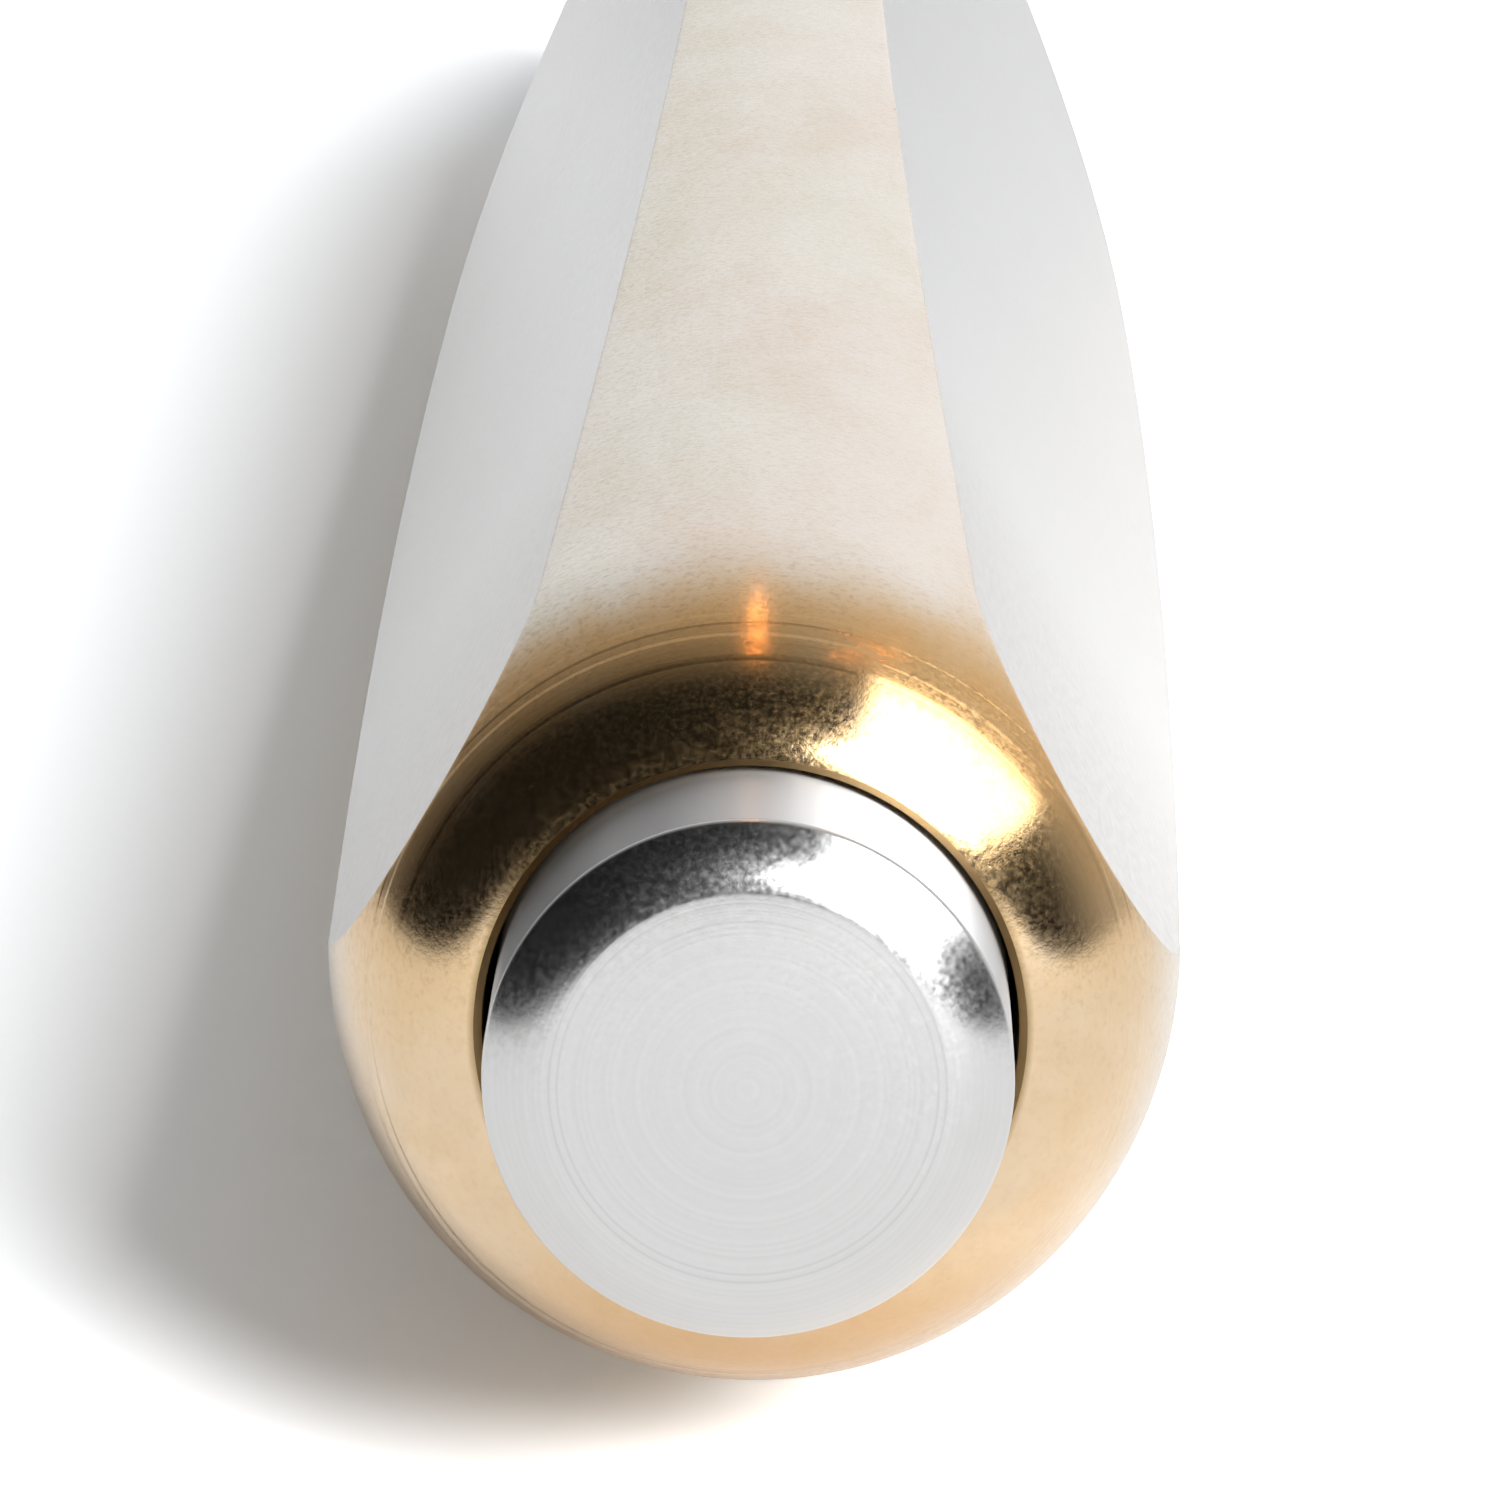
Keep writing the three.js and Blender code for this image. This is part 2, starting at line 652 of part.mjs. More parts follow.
const pen = new THREE.Group();
pen.position.set(0, -tipAt / 2, axisHeight);
pen.add(
  finish('barrel', barrel(), brass),
  finish('push_button', pushButton(), chrome),
  finish('plunger', plunger(), whitePlastic),
  finish('mechanism_tube', mechanismTube(), brass),
  finish('cam_track', camTrack(), whitePlastic),
  finish('rotor', rotor(), blackPlastic),
  finish('retaining_bush', retainingBush(), brass),
  finish('refill_plug', refillPlug(), blackPlastic),
  finish('refill_tube', refillTube(), steel),
  finish('grease_follower', greaseFollower(), grease),
  finish('ink_column', inkColumn(), ink),
  finish('refill_coupling', refillCoupling(), brass),
  finish('writing_point', writingPoint(), steel),
  finish('writing_ball', writingBall(), carbide),
  finish('refill_spring', refillSpring(), steel),
  finish('nose_seal', noseSeal(), blackRubber),
  finish('nose_cone', noseCone(), brass),
);

export default pen;
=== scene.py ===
"""Click ballpoint pen lying on a pale table, seen along its length from the push button.

Lengths of the pen are in millimetres. Places are measured from the push button's face towards the tip, as in
the part's source, and radii from the pen's axis. Pieces are turned round the axis and then moved to their
place in metres.
"""

import math

import bmesh
import bpy
from mathutils import Matrix, Vector


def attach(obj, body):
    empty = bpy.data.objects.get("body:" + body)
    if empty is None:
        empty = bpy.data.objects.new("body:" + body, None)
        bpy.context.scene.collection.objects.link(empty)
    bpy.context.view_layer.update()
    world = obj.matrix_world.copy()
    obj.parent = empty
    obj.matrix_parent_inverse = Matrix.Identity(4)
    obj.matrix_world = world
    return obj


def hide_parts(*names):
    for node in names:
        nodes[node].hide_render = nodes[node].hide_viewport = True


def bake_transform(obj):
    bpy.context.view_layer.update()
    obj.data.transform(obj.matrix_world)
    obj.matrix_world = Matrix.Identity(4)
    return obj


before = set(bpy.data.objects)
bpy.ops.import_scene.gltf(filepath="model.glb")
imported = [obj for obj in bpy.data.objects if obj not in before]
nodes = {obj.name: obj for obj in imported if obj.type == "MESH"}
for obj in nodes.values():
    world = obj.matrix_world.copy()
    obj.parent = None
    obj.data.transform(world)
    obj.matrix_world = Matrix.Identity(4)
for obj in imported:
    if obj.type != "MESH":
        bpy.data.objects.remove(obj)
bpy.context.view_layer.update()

# Body
LIP_AT, BORE_RADIUS, LIP_CHAMFER = 3.05, 3.33, 0.10
DOME_LENGTH, DOME_RISE, DOME_END = 5.05, 2.06, 8.10
DOME_RADIUS = BORE_RADIUS + LIP_CHAMFER + DOME_RISE
DOME_START = math.radians(4.5)
BELLY_AT, BELLY_RADIUS = 72.0, 6.95
JOINT_AT, JOINT_RADIUS = 110.0, 4.70
CHAMBER_AT, CHAMBER_RADIUS = 15.2, 3.70
SEAL_REBATE, SEAL_REBATE_DEPTH = 4.11, 0.44
FLAT_DISTANCE, FLAT_ANGLE = 4.76, math.radians(60)
BROKEN_EDGE = 0.03

# Push button
BUTTON_RADIUS, BUTTON_FACE_RADIUS, BUTTON_LENGTH = 3.23, 2.4, 13.5
BUTTON_WALL, BUTTON_SOLID = 0.6, 6.0
STEM_SOCKET_RADIUS, STEM_SOCKET_DEPTH = 1.66, 3.4
FACE_TILT, EDGE_TILT, EDGE_ROUND = math.radians(10), math.radians(46), 0.15

# Nose cone and its thread
NOSE_AT, NOZZLE_AT, NOZZLE_RADIUS, NOZZLE_ROUND, NOZZLE_HOLE = 110.05, 133.24, 1.75, 0.35, 1.35
NOSE_CHAMFER = 0.06
TENON_AT, TENON_RADIUS, TENON_BORE = 101.5, 3.60, 3.10
SHANK_BORE, SHANK_BORE_END = 1.65, 128.36
SPRING_CHAMBER, SPRING_CHAMBER_AT, SPRING_SEAT_AT = 2.7, 113.91, 123.99
THREAD_PITCH, THREAD_DEPTH, THREAD_TURNS = 0.75, 0.35, 9
THREAD_ROOT = TENON_RADIUS - THREAD_DEPTH
THREAD_START, THREAD_HALF_WIDTH, THREAD_SUNK = 0.2, 0.3, 0.02
RUNOUT_START, RUNOUT_END = 1.2, 0.9

# Seal
SEAL_CENTRE, SEAL_BEAD = 3.89, 0.19

# Refill, its point and its spring
REFILL_RADIUS, REFILL_INSIDE, REFILL_TUBE_AT = 2.95, 2.65, 39.59
SHOULDER_AT, SHOULDER_CHAMFER = 112.59, 0.5
REFILL_LIP_AT, REFILL_LIP_HOLE = 111.89, 1.96
COUPLING_RADIUS, COUPLING_AT, COUPLING_END = 2.59, 107.23, 111.83
NECK_RADIUS, NECK_END = 1.9, 112.65
SHANK_RADIUS, SHANK_END = 1.5, 127.04
POINT_SOCKET_RADIUS, POINT_SOCKET_AT = 0.86, 123.48
INK_CHANNEL = 0.3
SPIGOT_RADIUS, SPIGOT_AT = 0.8, 123.54
POINT_RADIUS = 1.17
POINT_CONE = [(1.17, 133.55), (1.14, 133.62), (0.60, 135.95), (0.558, 136.09)]
BALL_SOCKET = [(0.488, 136.09), (0.53, 135.89), (0.53, 135.36)]
BALL_RADIUS, TIP_AT = 0.5, 136.39
SPRING_RADIUS, SPRING_WIRE, SPRING_AT = 1.9, 0.2, 112.85
SPRING_LENGTH, END_CURL, SPRING_CURLS = 10.88, 0.42, 8

AXIS_HEIGHT = BELLY_RADIUS
MIDDLE = TIP_AT / 2

# Facets
TURNED_STEPS, SMALL_STEPS, SEAL_STEPS, COIL_STEPS, THREAD_STEPS = 192, 96, 128, 40, 64
EDGE_STEPS, ROUND_STEPS = 16, 8


def bezier(start, start_pull, end_pull, end, steps):
    """Points of a smooth curve between two [radius, place] corners, without its first point."""
    points = []
    for i in range(1, steps + 1):
        s = i / steps
        weights = ((1 - s) ** 3, 3 * (1 - s) ** 2 * s, 3 * (1 - s) * s ** 2, s ** 3)
        corners = (start, start_pull, end_pull, end)
        points.append(tuple(sum(w * c[k] for w, c in zip(weights, corners)) for k in range(2)))
    return points


def arc(centre, across, along, first, last, steps):
    """Points of part of an ellipse, as [radius, place]."""
    angles = [first + (last - first) * i / steps for i in range(steps + 1)]
    return [(centre[0] + across * math.sin(a), centre[1] + along * math.cos(a)) for a in angles]


def bead(centre, radius, steps):
    """A closed circle of [radius, place] corners."""
    return arc(centre, radius, radius, 0, 2 * math.pi, steps)[:-1]


def on_axis(place):
    """A point on the pen's axis, in metres."""
    return (0, (place - MIDDLE) / 1000, AXIS_HEIGHT / 1000)


def to_pen(bm):
    """Moves a mesh from millimetres on the axis to its place in metres."""
    place = Matrix.Translation(on_axis(0)) @ Matrix.Diagonal((0.001, 0.001, 0.001, 1))
    bmesh.ops.transform(bm, matrix=place, verts=bm.verts)


def outline(bm, profile):
    """A closed profile of [radius, place] corners as loose vertices and edges."""
    ring = [bm.verts.new((r, t, 0)) for r, t in profile]
    edges = [bm.edges.new((ring[i], ring[(i + 1) % len(ring)])) for i in range(len(ring))]
    return ring, edges


def spun(profile, steps):
    """A closed profile of [radius, place] corners turned round the axis. Corners on the axis become poles."""
    bm = bmesh.new()
    ring, edges = outline(bm, profile)
    bmesh.ops.spin(
        bm, geom=ring + edges, cent=(0, 0, 0), axis=(0, 1, 0), angle=2 * math.pi, steps=steps,
        use_merge=True, use_duplicate=False)
    bmesh.ops.remove_doubles(bm, verts=bm.verts, dist=1e-5)
    inside = [f for f in bm.faces if f.calc_area() < 1e-9]
    bmesh.ops.delete(bm, geom=inside, context="FACES")
    loose = [e for e in bm.edges if not e.link_faces]
    bmesh.ops.delete(bm, geom=loose, context="EDGES")
    bmesh.ops.recalc_face_normals(bm, faces=bm.faces)
    return bm


def coil(bm, section, stretches):
    """Winds a closed section round the axis. Each stretch is (turns, rise of a turn, steps of a turn)."""
    ring, edges = outline(bm, section)
    bm.faces.new(ring)
    last = ring + edges
    for turns, rise, steps in stretches:
        wound = bmesh.ops.spin(
            bm, geom=last, cent=(0, 0, 0), axis=(0, 1, 0), dvec=(0, rise / steps, 0),
            angle=2 * math.pi * turns, steps=round(steps * turns), use_merge=False, use_duplicate=False)
        last = wound["geom_last"]
    end = [g for g in last if isinstance(g, bmesh.types.BMEdge)]
    bmesh.ops.edgeloop_fill(bm, edges=end)
    bmesh.ops.recalc_face_normals(bm, faces=bm.faces)


def finish_piece(name, bm, body, materials, replaced, crease=32):
    """Makes a piece that stands for one CAD node, smooth but for edges sharper than crease degrees.

    It rides on the body. If that is None, it is left unattached.
    """
    limit = math.radians(crease)
    for face in bm.faces:
        face.smooth = True
    for edge in bm.edges:
        if len(edge.link_faces) == 2 and edge.calc_face_angle(0) > limit:
            edge.smooth = False
    to_pen(bm)
    mesh = bpy.data.meshes.new(name)
    bm.to_mesh(mesh)
    bm.free()
    piece = bpy.data.objects.new(name, mesh)
    bpy.context.scene.collection.objects.link(piece)
    for material in materials:
        mesh.materials.append(material)
    if body:
        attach(piece, body)
    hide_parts(replaced)
    return piece


# Finishes

def new_material(name, **values):
    """A metal or plastic with plain values on its shader's own sockets."""
    material = bpy.data.materials.new(name)
    material.use_nodes = True
    shader = material.node_tree.nodes["Principled BSDF"]
    for socket, value in values.items():
        shader.inputs[socket].default_value = value
    return material, shader


def add(material, kind, inputs=(), **settings):
    """Adds a node. inputs are (socket, value or output) pairs."""
    node = material.node_tree.nodes.new(kind)
    for key, value in settings.items():
        setattr(node, key, value)
    for socket, value in inputs:
        if isinstance(value, bpy.types.NodeSocket):
            material.node_tree.links.new(value, node.inputs[socket])
        else:
            node.inputs[socket].default_value = value
    return node


def link(material, output, target):
    """Joins an output to a socket."""
    material.node_tree.links.new(output, target)


def axis_coordinates(material, scale):
    """Object coordinates in metres from the pen's axis, times a scale for each direction."""
    place = add(material, "ShaderNodeTexCoord").outputs["Object"]
    centred = add(material, "ShaderNodeMapping", [(0, place), ("Location", (0, 0, -AXIS_HEIGHT / 1000))])
    return add(material, "ShaderNodeMapping", [(0, centred.outputs[0]), ("Scale", scale)]).outputs[0]


def measured(material, axis):
    """Metres along the pen's axis for Y, or above it for Z."""
    place = axis_coordinates(material, (1, 1, 1))
    return add(material, "ShaderNodeSeparateXYZ", [(0, place)]).outputs[axis]


def axis_distance(material):
    """Metres from the pen's axis."""
    across = axis_coordinates(material, (1, 0, 1))
    return add(material, "ShaderNodeVectorMath", [(0, across)], operation="LENGTH").outputs["Value"]


def noise(material, scale, detail, roughness=0.5):
    """Noise with so many lumps to the metre in each direction."""
    return add(material, "ShaderNodeTexNoise", [
        (0, axis_coordinates(material, scale)), ("Scale", 1.0), ("Detail", detail), ("Roughness", roughness),
    ]).outputs["Fac"]


def spread(material, value, low, high, to_low=0.0, to_high=1.0):
    """Stretches low..high of a value to a new range, and stops there."""
    return add(material, "ShaderNodeMapRange", [
        (0, value), ("From Min", low), ("From Max", high), ("To Min", to_low), ("To Max", to_high),
    ]).outputs[0]


def mix(material, share, first, second):
    """First colour where the share is 0, second where it is 1."""
    return add(material, "ShaderNodeMix", [(0, share), (6, first), (7, second)], data_type="RGBA").outputs[2]


def bump(material, height, distance, under=None):
    """Relief of a height in metres on top of another relief."""
    inputs = [("Height", height), ("Strength", 1.0), ("Distance", distance)]
    if under is not None:
        inputs.append(("Normal", under))
    return add(material, "ShaderNodeBump", inputs).outputs[0]


def along_axis(material, start, end):
    """Goes from 0 to 1 between two places on the axis, in millimetres from the button's face."""
    return spread(material, measured(material, "Y"), (start - MIDDLE) / 1000, (end - MIDDLE) / 1000)


def joined(material, operation, first, second):
    """A sum, product or the like of two values."""
    return add(material, "ShaderNodeMath", [(0, first), (1, second)], operation=operation).outputs[0]


def times(material, first, second):
    """The product of two values."""
    return joined(material, "MULTIPLY", first, second)


def round_axis(material, shader, amount):
    """Grain that runs round the pen's axis, which spreads reflections along it."""
    shader.inputs["Anisotropic"].default_value = amount
    shader.inputs["Anisotropic Rotation"].default_value = 0.25
    grain = add(material, "ShaderNodeTangent", direction_type="RADIAL", axis="Y")
    link(material, grain.outputs[0], shader.inputs["Tangent"])


def dome_gold(material, height):
    """Gold of the dome: streaky, browner on top, and deeper low down as painted shade."""
    streaks = spread(material, noise(material, (1500, 90, 1500), 4.0, 0.6), 0.3, 0.7)
    gold = mix(material, streaks, (0.76, 0.57, 0.36, 1), (0.81, 0.63, 0.43, 1))
    # Painted shade: the gold turns deep and dark low down, where the dome mirrors the shadowed table.
    painted_shade_low = spread(material, height, -0.0053, -0.0027, 0.95, 0.0)
    gold = mix(material, painted_shade_low, gold, (0.52, 0.30, 0.115, 1))
    browner = spread(material, height, -0.0005, 0.0025, 0.0, 0.9)
    return mix(material, browner, gold, (0.78, 0.53, 0.25, 1))


def aged_brass(material, height, blotches):
    """Brass behind the dome: mottled, and warmer towards the tip and underneath.

    The top is pale as painted light, and the underside darker as painted shade.
    """
    green_grey = mix(material, blotches, (0.80, 0.75, 0.63, 1), (0.88, 0.83, 0.73, 1))
    pink_grey = mix(material, blotches, (0.84, 0.73, 0.63, 1), (0.89, 0.81, 0.72, 1))
    warmth = spread(material, noise(material, (150, 50, 150), 3.0, 0.5), 0.42, 0.60)
    pale = mix(material, warmth, green_grey, pink_grey)
    front = mix(material, blotches, (0.76, 0.65, 0.47, 1), (0.82, 0.72, 0.55, 1))
    above = mix(material, times(material, along_axis(material, 62.0, 100.0), 0.8), pale, front)
    under = mix(material, along_axis(material, 12.0, 45.0), (0.67, 0.58, 0.48, 1), (0.72, 0.60, 0.42, 1))
    # Painted light and shade: pale on top, darker underneath.
    return mix(material, spread(material, height, -0.001, 0.002, 0.9, 0.0), above, under)


def turned_brass():
    """Bare brass off the lathe with a grainy skin: golden dome, brown stain behind it, mottled after."""
    material, shader = new_material("turned_brass", Metallic=1.0)
    height = measured(material, "Z")
    blotches = spread(material, noise(material, (420, 140, 420), 5.0, 0.65), 0.35, 0.65)
    lumps = noise(material, (8000, 8000, 8000), 3.0, 0.65)
    grain = noise(material, (16000, 16000, 16000), 4.0, 0.7)

    ragged = spread(material, blotches, 0.0, 1.0, -0.2, 0.2)
    stain_end = joined(material, "ADD", along_axis(material, 4.7, 6.6), ragged)
    gold = dome_gold(material, height)
    tone = mix(material, spread(material, stain_end, 0.0, 1.0), gold, aged_brass(material, height, blotches))
    stain = times(material, along_axis(material, 3.5, 4.0), spread(material, stain_end, -0.1, 0.6, 0.9, 0.0))
    stain = times(material, stain, spread(material, height, 0.0005, 0.0030))
    tone = mix(material, stain, tone, (0.80, 0.47, 0.19, 1))
    specks = times(
        material, spread(material, lumps, 0.50, 0.72), spread(material, height, -0.001, 0.003, 0.12, 0.5))
    fewer_behind = spread(material, along_axis(material, 5.2, 7.0), 0.0, 1.0, 1.0, 0.35)
    tone = mix(material, times(material, specks, fewer_behind), tone, (0.55, 0.34, 0.15, 1))
    # Painted shade: a dark ring on the bore's lip, in the gap round the push button.
    lip_painted_shade = times(
        material, spread(material, axis_distance(material), 0.00342, 0.00352, 1.0, 0.0),
        along_axis(material, 4.4, 4.0))
    tone = mix(material, lip_painted_shade, tone, (0.42, 0.29, 0.14, 1))
    link(material, tone, shader.inputs["Base Color"])

    rough = joined(
        material, "ADD", spread(material, grain, 0.40, 0.68, 0.13, 0.21),
        spread(material, lumps, 0.35, 0.65, 0.0, 0.05))
    link(material, rough, shader.inputs["Roughness"])

    shoulder_end = spread(material, along_axis(material, 4.5, 4.9), 0.0, 1.0, 1.0, 0.0)
    shoulder = times(material, along_axis(material, 3.8, 4.0), shoulder_end)
    grooves = times(material, spread(material, noise(material, (40, 5200, 40), 0.0), 0.46, 0.60), shoulder)
    relief = bump(material, times(material, grain, along_axis(material, 9.0, 4.5)), 0.0000014)
    relief = bump(material, noise(material, (260, 13000, 260), 3.0), 0.0000010, relief)
    relief = bump(material, grooves, 0.0000060, relief)
    link(material, relief, shader.inputs["Normal"])
    round_axis(material, shader, 0.7)
    return material


def flat_brass():
    """The flats: pale and fine, ground lengthwise, dimmer near the dome and palest further along as painted
    reflection.
    """
    material, shader = new_material("flat_brass", Metallic=1.0)
    clouds = spread(material, noise(material, (200, 60, 200), 4.0), 0.3, 0.7)
    near = mix(material, clouds, (0.67, 0.66, 0.645, 1), (0.71, 0.70, 0.685, 1))
    far = mix(material, clouds, (0.94, 0.94, 0.945, 1), (0.98, 0.985, 0.99, 1))
    # Painted reflection: the flats' tone is dimmer near the dome and palest further along.
    link(material, mix(material, along_axis(material, 6.0, 22.0), near, far), shader.inputs["Base Color"])
    rough = spread(material, noise(material, (9000, 2500, 9000), 3.0), 0.3, 0.7, 0.14, 0.20)
    link(material, rough, shader.inputs["Roughness"])
    relief = bump(material, noise(material, (4000, 90, 4000), 3.0), 0.0000010)
    link(material, relief, shader.inputs["Normal"])
    return material


def satin_chrome():
    """The push button's face and edge: faint rings, two scribed lines, a fine grain and a few dull spots."""
    material, shader = new_material("satin_chrome", Metallic=1.0)
    radius = axis_distance(material)
    ring_place = add(material, "ShaderNodeCombineXYZ", [("X", times(material, radius, 14000.0))]).outputs[0]
    rings = add(
        material, "ShaderNodeTexNoise", [(0, ring_place), ("Scale", 1.0), ("Detail", 3.0)]).outputs["Fac"]
    grain = noise(material, (12000, 12000, 12000), 4.0, 0.6)
    spots = spread(material, noise(material, (900, 900, 900), 3.0), 0.6, 0.8, 0.0, 0.25)
    tone = mix(material, spread(material, rings, 0.3, 0.7), (0.65, 0.65, 0.65, 1), (0.71, 0.71, 0.71, 1))
    tone = mix(material, spots, tone, (0.62, 0.62, 0.62, 1))
    half_width = 0.00002
    for line_at in (0.00230, 0.00240):
        line = times(
            material, spread(material, radius, line_at - half_width, line_at),
            spread(material, radius, line_at, line_at + half_width, 0.6, 0.0))
        tone = mix(material, line, tone, (0.55, 0.55, 0.55, 1))
    link(material, tone, shader.inputs["Base Color"])
    link(material, spread(material, grain, 0.35, 0.70, 0.18, 0.27), shader.inputs["Roughness"])
    relief = bump(material, grain, 0.0000012)
    relief = bump(material, rings, 0.0000016, relief)
    link(material, relief, shader.inputs["Normal"])
    return material


def brushed_chrome():
    """The push button's wall: brushed round the axis."""
    material, shader = new_material("brushed_chrome", Metallic=1.0, Roughness=0.42)
    streaks = spread(material, noise(material, (700, 60, 700), 3.0), 0.35, 0.65)
    tone = mix(material, streaks, (0.62, 0.62, 0.63, 1), (0.76, 0.76, 0.77, 1))
    link(material, tone, shader.inputs["Base Color"])
    relief = bump(material, noise(material, (300, 11000, 300), 3.0), 0.0000020)
    link(material, relief, shader.inputs["Normal"])
    round_axis(material, shader, 0.9)
    return material


def shades(colour, low, high):
    """A darker and a lighter tone of one colour."""
    return (tuple(min(1.0, share * c) for c in colour) + (1,) for share in (low, high))


def plain_metal(name, colour, roughness):
    """Small turned parts: one metal with faint rings round the axis."""
    material, shader = new_material(name, Metallic=1.0, Roughness=roughness)
    rings = noise(material, (500, 12000, 500), 3.0)
    link(material, mix(material, rings, *shades(colour, 0.9, 1.08)), shader.inputs["Base Color"])
    link(material, bump(material, rings, 0.0000016), shader.inputs["Normal"])
    round_axis(material, shader, 0.4)
    return material


def moulded(name, colour, roughness):
    """Moulded plastic, rubber, ink and grease: a soft mottle and a fine grain."""
    material, shader = new_material(name, Roughness=roughness)
    grain = noise(material, (6000, 6000, 6000), 3.0)
    link(material, mix(material, grain, *shades(colour, 0.85, 1.12)), shader.inputs["Base Color"])
    link(material, bump(material, grain, 0.0000020), shader.inputs["Normal"])
    return material


brass_turned = turned_brass()
brass_flat = flat_brass()
chrome = satin_chrome()
chrome_wall = brushed_chrome()
inner_brass = plain_metal("inner_brass", (0.82, 0.64, 0.41), 0.28)
steel = plain_metal("steel", (0.62, 0.63, 0.64), 0.25)
carbide = plain_metal("carbide", (0.42, 0.42, 0.43), 0.12)
white_plastic = moulded("white_acetal", (0.80, 0.79, 0.76), 0.45)
black_plastic = moulded("black_acetal", (0.030, 0.030, 0.033), 0.45)
rubber = moulded("black_rubber", (0.020, 0.020, 0.021), 0.75)
ink = moulded("ink_paste", (0.008, 0.012, 0.055), 0.3)
grease = moulded("clear_grease", (0.68, 0.62, 0.36), 0.35)

for node_name, material in {
    "plunger": white_plastic, "cam_track": white_plastic, "rotor": black_plastic,
    "refill_plug": black_plastic, "mechanism_tube": inner_brass, "retaining_bush": inner_brass,
    "refill_coupling": inner_brass, "refill_tube": steel, "grease_follower": grease, "ink_column": ink,
    "writing_ball": carbide, "writing_point": steel, "nose_seal": rubber, "refill_spring": steel,
    "barrel": inner_brass, "nose_cone": inner_brass, "push_button": steel,
}.items():
    nodes[node_name].data.materials.clear()
    nodes[node_name].data.materials.append(material)

# Body: turned shell with its bores, then the two flats


def body_profile():
    """Dome, swell to the belly, taper to the joint, and the bores inside."""
    swell_rise = BELLY_RADIUS - DOME_RADIUS
    swell_length = BELLY_AT - DOME_END
    taper_drop = BELLY_RADIUS - JOINT_RADIUS
    taper_length = JOINT_AT - BELLY_AT
    dome_reach = DOME_RISE / (1 - math.sin(DOME_START))
    dome_along = DOME_LENGTH / math.cos(DOME_START)
    dome = arc((DOME_RADIUS - dome_reach, DOME_END), dome_reach, -dome_along, DOME_START, math.pi / 2, 28)
    swell = bezier(
        (DOME_RADIUS, DOME_END), (DOME_RADIUS + 0.55 * swell_rise, DOME_END + 0.375 * swell_length),
        (BELLY_RADIUS, BELLY_AT - 0.3125 * swell_length), (BELLY_RADIUS, BELLY_AT), 40)
    taper = bezier(
        (BELLY_RADIUS, BELLY_AT), (BELLY_RADIUS, BELLY_AT + 0.45 * taper_length),
        (JOINT_RADIUS + 0.38 * taper_drop, JOINT_AT - 0.26 * taper_length), (JOINT_RADIUS, JOINT_AT), 24)
    return dome + swell + taper + [
        (SEAL_REBATE, JOINT_AT), (SEAL_REBATE, JOINT_AT - SEAL_REBATE_DEPTH),
        (CHAMBER_RADIUS, JOINT_AT - SEAL_REBATE_DEPTH), (CHAMBER_RADIUS, CHAMBER_AT),
        (BORE_RADIUS, CHAMBER_AT), (BORE_RADIUS, LIP_AT + LIP_CHAMFER),
    ]


def cut_flat(bm, side):
    """Takes the metal outside one flat away, closes the cut and breaks its edge by a hair.

    Corners are merged in a fixed order. Sharp borders shade the flat as one plane, whichever way it is
    split into triangles, so each run looks the same.
    """
    normal = Vector((side * math.sin(FLAT_ANGLE), 0, math.cos(FLAT_ANGLE)))
    cut = bmesh.ops.bisect_plane(
        bm, geom=bm.verts[:] + bm.edges[:] + bm.faces[:], plane_co=normal * FLAT_DISTANCE, plane_no=normal,
        clear_outer=True, dist=1e-4)
    rim_verts = [v for v in cut["geom_cut"] if isinstance(v, bmesh.types.BMVert)]
    near = {v for rim in rim_verts for edge in rim.link_edges for v in edge.verts} | set(rim_verts)
    bm.verts.index_update()
    near = sorted(near, key=lambda vert: vert.index)
    rim_verts.sort(key=lambda vert: vert.index)
    doubles = bmesh.ops.find_doubles(bm, verts=near, keep_verts=rim_verts, dist=BROKEN_EDGE * 1.6)
    bmesh.ops.weld_verts(bm, targetmap=doubles["targetmap"])
    rim = [e for e in bm.edges if len(e.link_faces) == 1]
    face = bmesh.ops.edgeloop_fill(bm, edges=rim, mat_nr=1)["faces"][0]
    broken = bmesh.ops.bevel(
        bm, geom=list(face.edges), offset=BROKEN_EDGE, offset_type="OFFSET", affect="EDGES", segments=2,
        profile=0.5, material=-1, clamp_overlap=False)
    for strip in broken["faces"]:
        strip.material_index = 0
    for ground in (f for f in bm.faces if f.material_index == 1):
        for edge in ground.edges:
            edge.smooth = False


body = spun(body_profile(), TURNED_STEPS)
cut_flat(body, 1)
cut_flat(body, -1)
finish_piece("body_shell", body, "body", [brass_turned, brass_flat], "barrel", crease=22)

# Push button: the face, an edge that leans more and more, a small round, and the wall


